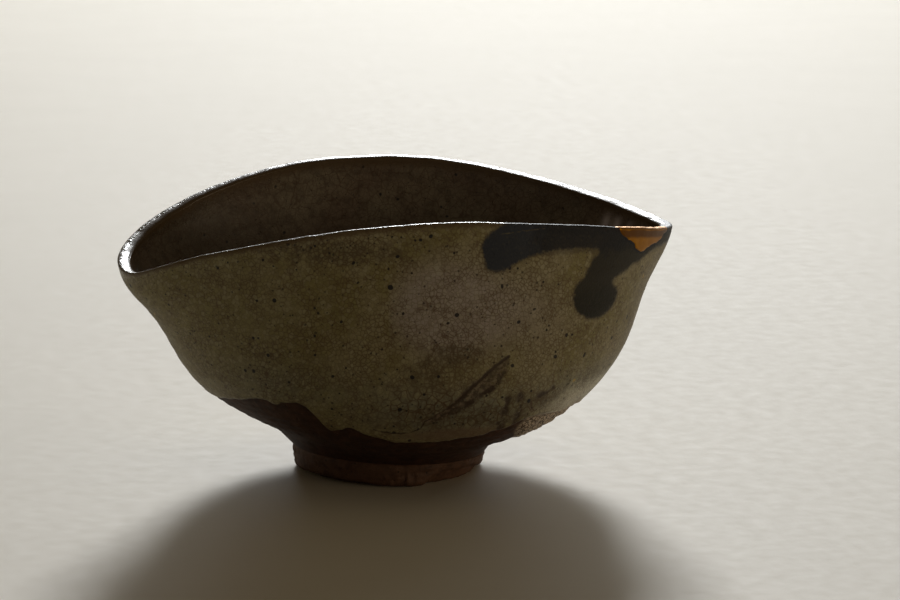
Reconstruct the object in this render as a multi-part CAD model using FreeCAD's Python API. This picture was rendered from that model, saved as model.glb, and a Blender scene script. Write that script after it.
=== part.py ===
"""Shoe-shaped matcha tea bowl of glazed stoneware, with brushed iron decoration and a gold-mended chip.

The bowl was thrown round and then pressed into a long shape while it was soft. Every height and
radius below is measured from the axis of the foot ring, with the foot standing on z = 0. The long
direction is X, with the higher tip at +X, and the decorated face looks towards -Y.
"""
import FreeCAD
import Part
import os
from math import cos, degrees, exp, pi, radians, sin

V = FreeCAD.Vector

# ---- driving dimensions, in millimetres --------------------------------------------------------
RIM_HALF_LENGTH = 73.85       # outer edge of the lip, along X
RIM_HALF_WIDTH = 51.7         # outer edge of the lip, along Y
RIM_SHIFT = (2.25, -2.0)      # centre of the lip, from the axis of the foot
RIM_HEIGHT = {"right": 63.6, "left": 58.9, "front": 75.0, "back": 75.9}
RIM_SKEW = 0.14               # how far the two humps of the lip lean towards the left tip
TIP_SQUEEZE = 0.33            # how much the right tip was pinched in
TIP_ROUNDING = 0.02           # keeps the pinched tip round
RIM_DIP = 1.9                 # how far the lip sags beside the left tip
RIM_DIP_PLACE = 191.0         # degrees round the bowl, counted from the right tip
RIM_DIP_WIDTH = 16.0          # degrees

LIP_THICKNESS = 3.5
LIP_CROWN = 1.2               # height of the rounded lip above its outer edge
WALL_THICKNESS = 5.8          # half way up
BOTTOM_THICKNESS = 7.8        # where the wall runs into the bottom
GLAZE_THICKNESS = 0.5

NECK_RADIUS = 25.6            # where the body meets the foot ring
NECK_HEIGHT = 6.2             # on the axis: the body sits slightly tilted on its foot
NECK_TILT = 1.3               # rise of that joint at the left, and fall at the right
FOOT_RADIUS = 25.0
FOOT_EDGE = 1.5               # rounding of the foot's outer lower edge
FOOT_STRAIGHT = 4.6           # above this height the foot is a plain cylinder

RECESS_RADIUS = 17.5          # the hollow inside the foot ring
RECESS_SHIFT = (1.8, -1.2)    # it was cut off centre, so the ring is a crescent
RECESS_CEILING = 7.5
TOKIN_RADIUS = 4.0            # small cone left by the trimming tool in the middle
TOKIN_DROP = 1.1

POOL_RADIUS = 14.0            # flat round pool in the middle of the inside
POOL_HEIGHT = 13.0

# The outline of the body, from the foot (0, 0) to the lip (1, 1), as (outwards, upwards) fractions.
RIGHT_OUTLINE = ((0, 0), (0.067, 0.102), (0.239, 0.121), (0.275, 0.147), (0.488, 0.186),
                 (0.777, 0.464), (0.836, 0.75), (0.984, 0.913), (1, 1))
LEFT_OUTLINE = ((0, 0), (0.124, 0.117), (0.308, 0.194), (0.50, 0.307), (0.65, 0.459),
                (0.749, 0.656), (0.872, 0.812), (0.984, 0.904), (1, 1))
SIDE_OUTLINE = ((0, 0), (0.17, 0.03), (0.50, 0.09), (0.80, 0.19), (0.97, 0.36),
                (1.03, 0.55), (1.035, 0.72), (1.02, 0.88), (1, 1))

# Where the dipped glaze ends: (degrees round the bowl, share of the way from the foot to the lip).
GLAZE_LINE = ((-180, 0.35), (-160, 0.36), (-142, 0.40), (-124, 0.44), (-116, 0.36), (-104, 0.30),
              (-90, 0.25), (-80, 0.26), (-72, 0.32), (-60, 0.376), (-38, 0.43), (0, 0.39),
              (40, 0.29), (75, 0.30), (110, 0.24), (145, 0.33), (180, 0.35))

# Outlines of the painted iron, as (x, z) on the front face. The long stroke runs up over the lip.
LONG_STROKE = ((13.2, 66), (15.5, 62.3), (21, 62), (26, 64.8), (32, 65.6), (39, 65.5), (48, 63.6),
               (57, 61.5), (60, 68), (50, 78), (34, 80), (23, 76), (15.2, 71))
HOOK_STROKE = ((72, 61.5), (66.4, 60), (60.4, 58.5), (55.5, 56.8), (51.6, 54.6), (53.3, 51.6), (51.2, 47.5),
               (45.1, 46), (40.2, 49.4), (39.6, 54.6), (43.2, 59.4), (46.5, 64.5), (56, 70), (70, 69))
STROKE_REACH = (-70.0, -8.0)  # how far along Y the outlines cut through the glaze

# The chip mended with gold, as (along the lip, height), in a plane square to CHIP_FACING.
CHIP_OUTLINE = ((3.8, 69), (7.8, 65.8), (11.8, 63), (15.6, 60.9), (20, 61.5), (27, 62.3), (33, 65),
                (30, 76), (18, 80), (6, 76))
CHIP_FACING = -40.0           # degrees
CHIP_REACH = (25.0, 80.0)     # distance from the axis where the chip is cut through the lip

# ---- how finely the curved faces are sampled ----------------------------------------------------
SPOKES = 72
PATCHES = 4                   # each ring of points becomes this many faces
OUTSIDE_STEPS = (0, 0.06, 0.13, 0.21, 0.30, 0.40, 0.50, 0.60, 0.70, 0.80, 0.88, 0.95, 1)
LIP_STEPS = (30, 60, 90, 120, 150)
INSIDE_STEPS = (1, 0.93, 0.85, 0.75, 0.65, 0.55, 0.45, 0.36, 0.28, 0.20, 0.14)
BLEND_RADII = (23.0, 18.5)    # rings between the wall and the pool
BLEND_HEIGHTS = (14.9, 13.4)


def blend(low, high, share):
    return low + (high - low) * share


def smooth(x):
    """Goes from 0 to 1 with flat ends."""
    x = min(max(x, 0.0), 1.0)
    return x * x * (3 - 2 * x)


def hermite(nodes, x):
    """Smooth curve through (x, y) nodes that repeats after the last one."""
    span = nodes[-1][0] - nodes[0][0]
    ring = [(nodes[-2][0] - span, nodes[-2][1]), *nodes, (nodes[1][0] + span, nodes[1][1])]
    i = next(k for k in range(1, len(nodes)) if x <= ring[k + 1][0] or k == len(nodes) - 1)
    (xa, ya), (xb, yb), (xc, yc), (xd, yd) = ring[i - 1:i + 3]
    step = xc - xb
    u = (x - xb) / step
    slope_b, slope_c = (yc - ya) / (xc - xa) * step, (yd - yb) / (xd - xb) * step
    return (yb * (1 + 2 * u) * (1 - u) ** 2 + slope_b * u * (1 - u) ** 2
            + yc * u * u * (3 - 2 * u) + slope_c * u * u * (u - 1))


def outline_at(outline, w):
    """Point of a clamped uniform cubic B-spline whose control points are the outline."""
    count, degree = len(outline), 3
    spans = count - degree
    knots = [0.0] * degree + [k / spans for k in range(spans + 1)] + [1.0] * degree
    w = min(max(w, 0.0), 1.0)
    k = min(int(w * spans), spans - 1) + degree
    points = [outline[k - degree + j] for j in range(degree + 1)]
    for level in range(1, degree + 1):
        for j in range(degree, level - 1, -1):
            low, high = knots[j + k - degree], knots[j + 1 + k - level]
            share = (w - low) / (high - low)
            points[j] = tuple(blend(a, b, share) for a, b in zip(points[j - 1], points[j]))
    return points[degree]


def lip_edge(t):
    """Outer edge of the lip in the direction t, LIP_CROWN below its top."""
    c, s = cos(t), sin(t)
    pinch = (s * s + TIP_ROUNDING) ** (0.5 * TIP_SQUEEZE * max(c, 0.0) ** 2)
    ends = (RIM_HEIGHT["right"] + RIM_HEIGHT["left"]) / 2
    lean = (RIM_HEIGHT["right"] - RIM_HEIGHT["left"]) / 2
    middle = blend(RIM_HEIGHT["front"], RIM_HEIGHT["back"], smooth((s + 1) / 2))
    height = ends + lean * c + (middle - ends) * s * s * (1 - RIM_SKEW * c)
    height -= RIM_DIP * exp(-((degrees(t) % 360 - RIM_DIP_PLACE) / RIM_DIP_WIDTH) ** 2)
    return V(RIM_HALF_LENGTH * c + RIM_SHIFT[0], RIM_HALF_WIDTH * s * pinch + RIM_SHIFT[1],
             height - LIP_CROWN)


def outside(t, w):
    """Outer skin of the body: t turns round it, w goes from the foot (0) to the lip (1)."""
    c, s = cos(t), sin(t)
    shares = (c * c * (1 + c) / 2, c * c * (1 - c) / 2, s * s)
    curves = [outline_at(o, w) for o in (RIGHT_OUTLINE, LEFT_OUTLINE, SIDE_OUTLINE)]
    out = sum(share * curve[0] for share, curve in zip(shares, curves))
    up = sum(share * curve[1] for share, curve in zip(shares, curves))
    foot = V(NECK_RADIUS * c, NECK_RADIUS * s, NECK_HEIGHT - NECK_TILT * c)
    edge = lip_edge(t)
    return V(blend(foot.x, edge.x, out), blend(foot.y, edge.y, out), blend(foot.z, edge.z, up))


def outward(t, w):
    """Unit vector square to the outer skin."""
    small = 1e-3
    low, high = max(w - small, 0.0), min(w + small, 1.0)
    round_it = outside(t + small, w) - outside(t - small, w)
    up_it = outside(t, high) - outside(t, low)
    return round_it.cross(up_it).normalize()


def wall_at(w):
    """Thickness of the glazed wall."""
    if w > 0.6:
        return blend(WALL_THICKNESS, LIP_THICKNESS, smooth((w - 0.6) / 0.4))
    return blend(BOTTOM_THICKNESS, WALL_THICKNESS, smooth((w - 0.1) / 0.5))


def upward(t):
    """Unit vector along the outer skin where it reaches the lip."""
    return (outside(t, 1) - outside(t, 1 - 1e-3)).normalize()


def skin_section(t, inset):
    """The glazed surface from the foot over the lip to the pool, moved into the clay by inset."""
    rows = []
    for w in OUTSIDE_STEPS:
        rows.append(outside(t, w) - outward(t, w) * inset * smooth(w / 0.06))
    rows += over_lip(t, inset, LIP_STEPS)
    rows += inside(t, inset)
    return rows


def over_lip(t, inset, angles):
    """Points over the rounded lip, by the angle turned from its outer edge."""
    side, up = outward(t, 1), upward(t)
    half = LIP_THICKNESS / 2
    middle = lip_edge(t) - side * half
    turns = [radians(degrees) for degrees in angles]
    return [middle + side * ((half - inset) * cos(turn)) + up * ((LIP_CROWN - inset) * sin(turn))
            for turn in turns]


def inside(t, inset):
    """Points down the inside, from the lip to the edge of the pool."""
    rows = [outside(t, w) - outward(t, w) * (wall_at(w) - inset) for w in INSIDE_STEPS]
    for radius, height in zip((*BLEND_RADII, POOL_RADIUS), (*BLEND_HEIGHTS, POOL_HEIGHT)):
        rows.append(V(radius * cos(t), radius * sin(t), height - inset))
    return rows


def glazed_outside(t, inset):
    """Points of the outer glaze, from the glaze line to the top of the lip."""
    start = hermite(GLAZE_LINE, t * 180 / pi)
    steps = [blend(start, 1, k / 11) for k in range(12)]
    rows = [outside(t, w) - outward(t, w) * inset for w in steps]
    return rows + over_lip(t, inset, (30, 60, 90))


def glazed_inside(t, inset):
    """Points of the inner glaze, from the top of the lip to the edge of the pool."""
    return over_lip(t, inset, (90, 120, 150)) + inside(t, inset)


# ---- from rings of points to solids --------------------------------------------------------------
def spoke_angles():
    return [2 * pi * k / SPOKES - pi for k in range(SPOKES)]


def rings(section, inset):
    """Turns section(t, inset) into rings of points, one ring for each step of the section."""
    spokes = [section(t, inset) for t in spoke_angles()]
    return [list(ring) for ring in zip(*spokes)]


def interpolated(points, parameters, closed):
    curve = Part.BSplineCurve()
    curve.interpolate(Points=points, PeriodicFlag=closed, Parameters=parameters)
    return curve


def ring_curve(ring):
    """Closed smooth curve through a ring of points."""
    return interpolated(ring, [k / SPOKES for k in range(SPOKES + 1)], True)


def patches(surface):
    """Cuts a surface that closes on itself into faces side by side."""
    faces = []
    for k in range(PATCHES):
        piece = surface.copy()
        piece.segment(k / PATCHES, (k + 1) / PATCHES, 0.0, 1.0)
        faces.append(piece.toShape())
    return faces


def ring_faces(ring_list):
    """Smooth faces through all the rings."""
    curves = [ring_curve(ring) for ring in ring_list]
    lengths = [0.0]
    for low, high in zip(ring_list, ring_list[1:]):
        step = sum((b - a).Length for a, b in zip(low[::6], high[::6]))
        lengths.append(lengths[-1] + step)
    heights = [length / lengths[-1] for length in lengths]
    columns = [interpolated(list(column), heights, False) for column in zip(*[c.getPoles() for c in curves])]
    surface = Part.BSplineSurface()
    surface.buildFromPolesMultsKnots(
        [column.getPoles() for column in columns],
        curves[0].getMultiplicities(), columns[0].getMultiplicities(),
        curves[0].getKnots(), columns[0].getKnots(), True, False, 3, 3)
    return patches(surface)


def edge_faces(low, high):
    """Straight strip between two rings."""
    curves = [ring_curve(low), ring_curve(high)]
    surface = Part.BSplineSurface()
    surface.buildFromPolesMultsKnots(
        [list(pair) for pair in zip(*[c.getPoles() for c in curves])],
        curves[0].getMultiplicities(), [2, 2], curves[0].getKnots(), [0.0, 1.0], True, False, 3, 1)
    return patches(surface)


def disc(ring):
    """Flat face inside a flat ring."""
    curve = ring_curve(ring)
    edges = [curve.toShape(k / PATCHES, (k + 1) / PATCHES) for k in range(PATCHES)]
    return Part.Face(Part.Wire(edges))


def solid_of(faces):
    shell = Part.makeShell(faces)
    shell.sewShape()
    solid = Part.Solid(shell)
    if solid.Volume < 0:
        solid.reverse()
    return solid


def plain_prism(points, along):
    """Solid swept from a closed smooth outline."""
    curve = Part.BSplineCurve()
    curve.interpolate(Points=points, PeriodicFlag=True)
    return Part.Face(Part.Wire(curve.toShape())).extrude(along)


# ---- the pieces ----------------------------------------------------------------------------------
def clay_body():
    ring_list = rings(skin_section, GLAZE_THICKNESS)
    body = solid_of([*ring_faces(ring_list), disc(ring_list[0]), disc(ring_list[-1])])
    return body.cut(recess())


def recess():
    """Hollow under the bowl, with the trimming cone standing in its ceiling."""
    profile = (V(0, 0, -1), V(RECESS_RADIUS + 0.6, 0, -1), V(RECESS_RADIUS, 0, RECESS_CEILING - 1.5),
               V(RECESS_RADIUS - 1.5, 0, RECESS_CEILING), V(TOKIN_RADIUS, 0, RECESS_CEILING),
               V(0, 0, RECESS_CEILING - TOKIN_DROP), V(0, 0, -1))
    tool = Part.Face(Part.makePolygon(profile)).revolve(V(0, 0, 0), V(0, 0, 1), 360)
    return tool.translated(V(*RECESS_SHIFT, 0))


def foot_ring():
    """Crescent foot ring, cut off at the slightly tilted joint with the body."""
    corner = FOOT_RADIUS - FOOT_EDGE
    bend = FOOT_EDGE * (1 - sin(pi / 4))
    top = NECK_HEIGHT + 2 * NECK_TILT
    arc = Part.Arc(V(corner, 0, 0), V(FOOT_RADIUS - bend, 0, bend), V(FOOT_RADIUS, 0, FOOT_EDGE))
    straight = Part.makePolygon([V(FOOT_RADIUS, 0, FOOT_EDGE), V(NECK_RADIUS, 0, FOOT_STRAIGHT),
                                 V(NECK_RADIUS, 0, top), V(0, 0, top), V(0, 0, 0), V(corner, 0, 0)])
    profile = Part.Wire([arc.toShape(), *straight.Edges])
    blank = Part.Face(profile).revolve(V(0, 0, 0), V(0, 0, 1), 360)
    reach = 2 * NECK_RADIUS
    rise = NECK_TILT * reach / NECK_RADIUS
    above = Part.makePolygon([V(-reach, -reach, NECK_HEIGHT + rise), V(reach, -reach, NECK_HEIGHT - rise),
                              V(reach, -reach, 4 * top), V(-reach, -reach, 4 * top),
                              V(-reach, -reach, NECK_HEIGHT + rise)])
    body_side = Part.Face(above).extrude(V(0, 2 * reach, 0))
    return blank.cut(body_side).cut(recess())


def outer_glaze():
    skin, clay = rings(glazed_outside, 0.0), rings(glazed_outside, GLAZE_THICKNESS)
    return solid_of([*ring_faces(skin), *ring_faces(clay), *edge_faces(skin[0], clay[0]),
                     *edge_faces(skin[-1], clay[-1])])


def inner_glaze():
    skin, clay = rings(glazed_inside, 0.0), rings(glazed_inside, GLAZE_THICKNESS)
    return solid_of([*ring_faces(skin), *ring_faces(clay), *edge_faces(skin[0], clay[0]),
                     disc(skin[-1]), disc(clay[-1])])


def stroke_cutter(outline):
    near, far = STROKE_REACH
    return plain_prism([V(x, near, z) for x, z in outline], V(0, far - near, 0))


def chip_cutter():
    turn = radians(CHIP_FACING)
    facing, along = V(cos(turn), sin(turn), 0), V(-sin(turn), cos(turn), 0)
    near, far = CHIP_REACH
    corners = [facing * near + along * a + V(0, 0, z) for a, z in CHIP_OUTLINE]
    return plain_prism(corners, facing * (far - near))


def largest(shape):
    """The main solid of a cut, without slivers."""
    return max(shape.Solids, key=lambda solid: solid.Volume)


def make_pieces():
    clay, outer, inner = clay_body(), outer_glaze(), inner_glaze()
    chip, long_cut, hook_cut = chip_cutter(), stroke_cutter(LONG_STROKE), stroke_cutter(HOOK_STROKE)
    bare = outer.cut(chip)
    rest = bare.cut(long_cut)
    return {
        "stoneware_wall": largest(clay.cut(chip)),
        "foot_ring": foot_ring(),
        "glaze_outside": largest(rest.cut(hook_cut)),
        "glaze_inside": largest(inner.cut(chip)),
        "iron_stroke_long": largest(bare.common(long_cut)),
        "iron_stroke_hook": largest(rest.common(hook_cut)),
        "kintsugi_filler": largest(clay.common(chip)),
        "kintsugi_gold": outer.common(chip).fuse(inner.common(chip)).removeSplitter(),
    }


def centre_of(shapes):
    """Middle of the footprint of all the shapes."""
    points = [point for shape in shapes for point in shape.tessellate(0.05)[0]]
    xs, ys = [point.x for point in points], [point.y for point in points]
    return V((min(xs) + max(xs)) / 2, (min(ys) + max(ys)) / 2, 0)


os.makedirs("parts", exist_ok=True)
pieces = make_pieces()
centre = centre_of(pieces.values())
for name, shape in pieces.items():
    placed = shape.translated(centre * -1)
    placed.exportStep("parts/" + name + ".step")
    box = placed.BoundBox
    print(name, "valid", placed.isValid(), "solids", len(placed.Solids), "volume %.0f" % placed.Volume,
          "box %.1f %.1f %.1f" % (box.XLength, box.YLength, box.ZLength))
print("axis of the foot at %.2f %.2f" % (-centre.x, -centre.y))
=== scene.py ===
"""Matcha bowl: the looks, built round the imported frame.

All shapes are worked out in millimetres from the axis of the foot ring, and moved into the frame's
metres when a mesh is made. In every grid t turns round the bowl and the rows run along its section.
"""
import math

import bpy
import numpy as np
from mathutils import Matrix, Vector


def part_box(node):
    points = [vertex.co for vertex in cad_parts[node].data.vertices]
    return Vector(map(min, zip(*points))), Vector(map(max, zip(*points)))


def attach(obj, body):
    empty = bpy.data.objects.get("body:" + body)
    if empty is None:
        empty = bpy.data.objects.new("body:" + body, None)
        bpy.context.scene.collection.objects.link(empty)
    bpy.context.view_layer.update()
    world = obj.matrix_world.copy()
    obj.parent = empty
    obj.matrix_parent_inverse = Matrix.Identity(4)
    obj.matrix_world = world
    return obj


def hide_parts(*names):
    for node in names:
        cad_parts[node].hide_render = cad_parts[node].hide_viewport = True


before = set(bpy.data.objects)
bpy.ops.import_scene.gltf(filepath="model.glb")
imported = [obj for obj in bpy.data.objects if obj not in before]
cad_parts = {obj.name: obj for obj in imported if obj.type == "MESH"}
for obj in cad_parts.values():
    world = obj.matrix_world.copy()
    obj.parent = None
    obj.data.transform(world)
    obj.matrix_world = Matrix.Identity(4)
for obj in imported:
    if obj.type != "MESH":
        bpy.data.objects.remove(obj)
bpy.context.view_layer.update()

MM = 0.001


def box_mm(node):
    low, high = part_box(node)
    return np.array(low) / MM, np.array(high) / MM


# ---- sizes, from the frame ----
foot_low, foot_high = box_mm("foot_ring")
coat_low, coat_high = box_mm("glaze_outside")
inner_low, _ = box_mm("glaze_inside")
AXIS = np.array([(foot_low[0] + foot_high[0]) / 2, (foot_low[1] + foot_high[1]) / 2, 0.0])
HEIGHT = coat_high[2]
RIM_HALF_LENGTH = (coat_high[0] - coat_low[0]) / 2
RIM_HALF_WIDTH = 0.985 * (coat_high[1] - coat_low[1]) / 2    # the belly is a little wider than the lip
RIM_SHIFT = (coat_high + coat_low) / 2 - AXIS
RIM_RIGHT, RIM_LEFT = 0.8385 * HEIGHT, 0.777 * HEIGHT
RIM_FRONT, RIM_BACK = 0.989 * HEIGHT, 1.001 * HEIGHT
RIM_SKEW = 0.14               # how far the high middle of the lip leans away from the right tip
TIP_SQUEEZE = 0.33            # how much sharper than an ellipse the right tip is
TIP_ROUNDING = 0.02
RIM_DIP, RIM_DIP_PLACE, RIM_DIP_WIDTH = 1.9, 191.0, 16.0    # the lip sags beside the left tip

GLAZE = 0.5
LIP_THICKNESS = 3.5
LIP_CROWN = 0.75              # how far the lip rises over its two edges
LIP_CROWN_FLAT = 0.4          # where the potter flattened the lip, behind the right tip
LIP_SQUARENESS = 2.3          # 2 is an ellipse, more is flatter on top
LIP_SQUARENESS_FLAT = 3.4
LIP_BEVEL = 1.15              # how much lower the lip is inside than outside, at the front
LIP_BEVEL_BACK = 0.45
WALL_THICKNESS = 5.8
BOTTOM_THICKNESS = 7.8
WALL_FOOT, WALL_MIDDLE = 0.1, 0.6     # shares of the way up that have the bottom's and the wall's thickness
NECK_RADIUS = (foot_high[0] - foot_low[0]) / 2
NECK_TILT = 1.3               # the foot's upper plane is this much lower at the right than in the middle
NECK_HEIGHT = foot_high[2] - NECK_TILT
FOOT_RADIUS = NECK_RADIUS - 0.6
FOOT_EDGE = 1.5               # radius of the rounding on the foot's outer lower edge
RECESS_RADIUS = 17.5
RECESS_SHIFT = np.array([1.8, -1.2, 0.0])
RECESS_CEILING = foot_high[2]
POOL_RADIUS = 14.0
POOL_HEIGHT = inner_low[2] + GLAZE
POOL_DEPTH = 0.5
POOL_SHARE = 0.6              # share of the bottom's rows that lie outside the pool
INSIDE_END = 0.14             # share of the way up where the inner wall meets the bottom
SETTLE_START = 0.82           # from here up the inner wall bends to meet the lip
BODY_LENGTH = 84.0            # from the foot to the lip along the outside

# The outline of the body, from the foot (0, 0) to the lip (1, 1), as (outwards, upwards) fractions.
RIGHT_OUTLINE = ((0, 0), (0.067, 0.102), (0.239, 0.121), (0.275, 0.147), (0.488, 0.186),
                 (0.777, 0.464), (0.836, 0.75), (0.984, 0.913), (1, 1))
LEFT_OUTLINE = ((0, 0), (0.124, 0.117), (0.308, 0.194), (0.50, 0.307), (0.65, 0.459),
                (0.749, 0.656), (0.872, 0.812), (0.984, 0.904), (1, 1))
SIDE_OUTLINE = ((0, 0), (0.17, 0.03), (0.50, 0.09), (0.80, 0.19), (0.97, 0.36),
                (1.03, 0.55), (1.035, 0.72), (1.02, 0.88), (1, 1))

# Where the dipped glaze ends: (degrees round the bowl, share of the way from the foot to the lip).
GLAZE_LINE = ((-180, 0.35), (-160, 0.36), (-144, 0.405), (-132, 0.442), (-128, 0.428), (-124, 0.444),
              (-119.5, 0.435), (-117, 0.378), (-114.8, 0.315), (-109.5, 0.332), (-106, 0.305),
              (-102, 0.274), (-95.5, 0.25), (-89, 0.255), (-82, 0.265), (-75.7, 0.286), (-70.5, 0.315),
              (-66, 0.362), (-57.6, 0.38), (-47.7, 0.397), (-38.6, 0.438),
              (-22, 0.43), (0, 0.39), (40, 0.29), (75, 0.30), (110, 0.24), (145, 0.33), (180, 0.35))

# Painted iron and the gold patch, as outlines of (x, z) or (along the lip, height) on the front.
LONG_STROKE = ((15.2, 71), (13.6, 68.5), (14, 66), (15.2, 62.4), (18.5, 61.8), (22, 63.2), (26.3, 64.8),
               (32, 65.7), (38.9, 65.6), (42.8, 65.2), (46.8, 64.4), (50, 63.6), (54, 62), (60, 63),
               (66, 72), (50, 80), (30, 82), (22, 75), (17.5, 72.6))
HOOK_STROKE = ((76, 60.2), (70.6, 60.2), (66.4, 60.2), (62.8, 59.3), (60.4, 58.5), (57.5, 58.1),
               (55.8, 56.8), (53.6, 56.4), (51.2, 54.9), (52.6, 52.9), (53.3, 51.2), (52.4, 49),
               (49.4, 46.6), (45.1, 46.1), (40.9, 48.3), (39.2, 51.7), (39.6, 55.1), (42.1, 57.5),
               (44.8, 61.5), (46.6, 63.4), (47, 66), (58, 68), (76, 70))
CHIP_OUTLINE = ((5, 70), (6, 67.2), (9, 65.2), (12.1, 63.7), (13.1, 62.3), (16.3, 60.8), (19.2, 60.9),
                (21.3, 61.4), (26.4, 61.6), (29.4, 62), (30.9, 63.2), (34.1, 64.5), (33, 80), (7, 80))
CHIP_FACING = math.radians(-40)

# The scar in the glaze and the crawled patch beside the lower edge, as outlines of (x, z) on the front.
SCAR_OUTLINE = ((20.6, 38.8), (17.3, 37.2), (13.4, 34.4), (9.6, 31.4), (5.9, 27.4), (0.5, 23.8),
                (-0.8, 22.4), (3.5, 23.2), (8, 25.2), (12, 27.6), (16.5, 30.4), (19.8, 34.2))
CRAWL_OUTLINE = ((27.6, 19.8), (29.5, 20.3), (33, 20.2), (37.4, 20), (41, 20.3), (46, 20.6), (46, 12),
                 (30, 12), (26.2, 16.5))

SPOKES = 560                  # columns round the bowl, closer together at the front
FRONT_CROWDING = 0.45


# ---- small mathematics ----
TINY = 1e-12


def blend(low, high, share):
    return low + (high - low) * share


def smooth(x):
    x = np.clip(x, 0.0, 1.0)
    return x * x * (3 - 2 * x)


def unit(vectors):
    return vectors / np.maximum(np.linalg.norm(vectors, axis=-1, keepdims=True), TINY)


def xyz(x, y, z):
    return np.stack(np.broadcast_arrays(x, y, z), -1)


def noise(points, size, seed):
    """Smooth random field between -1 and 1, with lumps of about the given size."""
    cells = 32
    table = np.random.default_rng(seed).uniform(-1, 1, (cells, cells, cells))
    spot = points / size
    corner = np.floor(spot).astype(int)
    share = smooth(spot - corner)
    total = np.zeros(points.shape[:-1])
    for dx in (0, 1):
        for dy in (0, 1):
            for dz in (0, 1):
                pick = (corner + (dx, dy, dz)) % cells
                weight = np.abs(share - (1 - np.array((dx, dy, dz)))).prod(-1)
                total += table[pick[..., 0], pick[..., 1], pick[..., 2]] * weight
    return total


def rough(points, size, seed, octaves):
    """Sum of finer and finer noise."""
    return sum(noise(points, size / 2 ** k, seed + k) / 2 ** k for k in range(octaves))


def periodic(nodes, degrees):
    """Smooth curve through (degrees, value) nodes that closes on itself."""
    degrees = (degrees + 180) % 360 - 180
    x, y = np.array(nodes, float).T
    x = np.concatenate([[x[-2] - 360], x, [x[1] + 360]])
    y = np.concatenate([[y[-2]], y, [y[1]]])
    i = np.clip(np.searchsorted(x, degrees, side="right") - 1, 1, len(x) - 3)
    step = x[i + 1] - x[i]
    u = (degrees - x[i]) / step
    slope = (y[i + 1] - y[i - 1]) / (x[i + 1] - x[i - 1]) * step
    slope_next = (y[i + 2] - y[i]) / (x[i + 2] - x[i]) * step
    return (y[i] * (1 + 2 * u) * (1 - u) ** 2 + slope * u * (1 - u) ** 2
            + y[i + 1] * u * u * (3 - 2 * u) + slope_next * u * u * (u - 1))


def spline_weights(w, count):
    """Weights of a clamped uniform cubic B-spline's control points at w."""
    degree = 3
    knots = np.concatenate([[0] * degree, np.linspace(0, 1, count - degree + 1), [1] * degree])
    w = np.clip(w, 0, 1 - 1e-9)[..., None]
    weights = ((w >= knots[:-1]) & (w < knots[1:])).astype(float)
    for d in range(1, degree + 1):
        left, right = knots[d:-1] - knots[:-d - 1], knots[d + 1:] - knots[1:-d]
        rise = np.where(left > 0, (w - knots[:-d - 1]) / np.where(left > 0, left, 1), 0)
        fall = np.where(right > 0, (knots[d + 1:] - w) / np.where(right > 0, right, 1), 0)
        weights = rise * weights[..., :-1] + fall * weights[..., 1:]
    return weights


def closed_curve(points, per_span=8):
    """Points of a smooth closed curve through the given ones."""
    p = np.array(points, float)
    u = (np.arange(per_span) / per_span)[None, :, None]
    a, b, c, d = (np.roll(p, k, 0)[:, None] for k in (1, 0, -1, -2))
    curve = (b + u * (c - a) / 2 + u ** 2 * (a - 2.5 * b + 2 * c - d / 2)
             + u ** 3 * (1.5 * (b - c) + (d - a) / 2))
    return curve.reshape(-1, 2)


def depth_inside(points, outline):
    """Distance to a closed outline in millimetres, above 0 inside it."""
    flat = points.reshape(-1, 2)
    a = closed_curve(outline)
    b = np.roll(a, -1, 0)
    near = np.full(len(flat), 1e9)
    inside = np.zeros(len(flat), bool)
    for (ax, ay), (bx, by) in zip(a, b):
        dx, dy = bx - ax, by - ay
        x, y = flat[:, 0] - ax, flat[:, 1] - ay
        share = np.clip((x * dx + y * dy) / (dx * dx + dy * dy + TINY), 0, 1)
        near = np.minimum(near, np.hypot(x - share * dx, y - share * dy))
        crosses = (ay > flat[:, 1]) != (by > flat[:, 1])
        inside ^= crosses & (flat[:, 0] < ax + y * dx / (dy if dy else TINY))
    return np.where(inside, near, -near).reshape(points.shape[:-1])


# ---- the section of the bowl ----
def lip_edge(t):
    """Outer edge of the lip in the direction t."""
    c, s = np.cos(t), np.sin(t)
    pinch = (s * s + TIP_ROUNDING) ** (0.5 * TIP_SQUEEZE * np.maximum(c, 0) ** 2)
    ends, lean = (RIM_RIGHT + RIM_LEFT) / 2, (RIM_RIGHT - RIM_LEFT) / 2
    middle = blend(RIM_FRONT, RIM_BACK, smooth((s + 1) / 2))
    height = ends + lean * c + (middle - ends) * s * s * (1 - RIM_SKEW * c)
    height = height - RIM_DIP * np.exp(-((np.degrees(t) % 360 - RIM_DIP_PLACE) / RIM_DIP_WIDTH) ** 2)
    x, y = RIM_HALF_LENGTH * c + RIM_SHIFT[0], RIM_HALF_WIDTH * s * pinch + RIM_SHIFT[1]
    return xyz(x, y, height - LIP_CROWN)


def outside(t, w):
    """Outer skin of the body: w goes from the foot (0) to the lip (1)."""
    c, s = np.cos(t), np.sin(t)
    weights = spline_weights(w, len(SIDE_OUTLINE))
    shares = (c * c * (1 + c) / 2, c * c * (1 - c) / 2, s * s)
    curve = sum(share[..., None] * (weights @ np.array(outline, float))
                for share, outline in zip(shares, (RIGHT_OUTLINE, LEFT_OUTLINE, SIDE_OUTLINE)))
    foot = xyz(NECK_RADIUS * c, NECK_RADIUS * s, NECK_HEIGHT - NECK_TILT * c)
    span = lip_edge(t) - foot
    return foot + span * curve[..., [0, 0, 1]]


def outward(t, w):
    step = 1e-3
    around = outside(t + step, w) - outside(t - step, w)
    along = outside(t, np.minimum(w + step, 1)) - outside(t, np.maximum(w - step, 0))
    return unit(np.cross(around, along))


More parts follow.
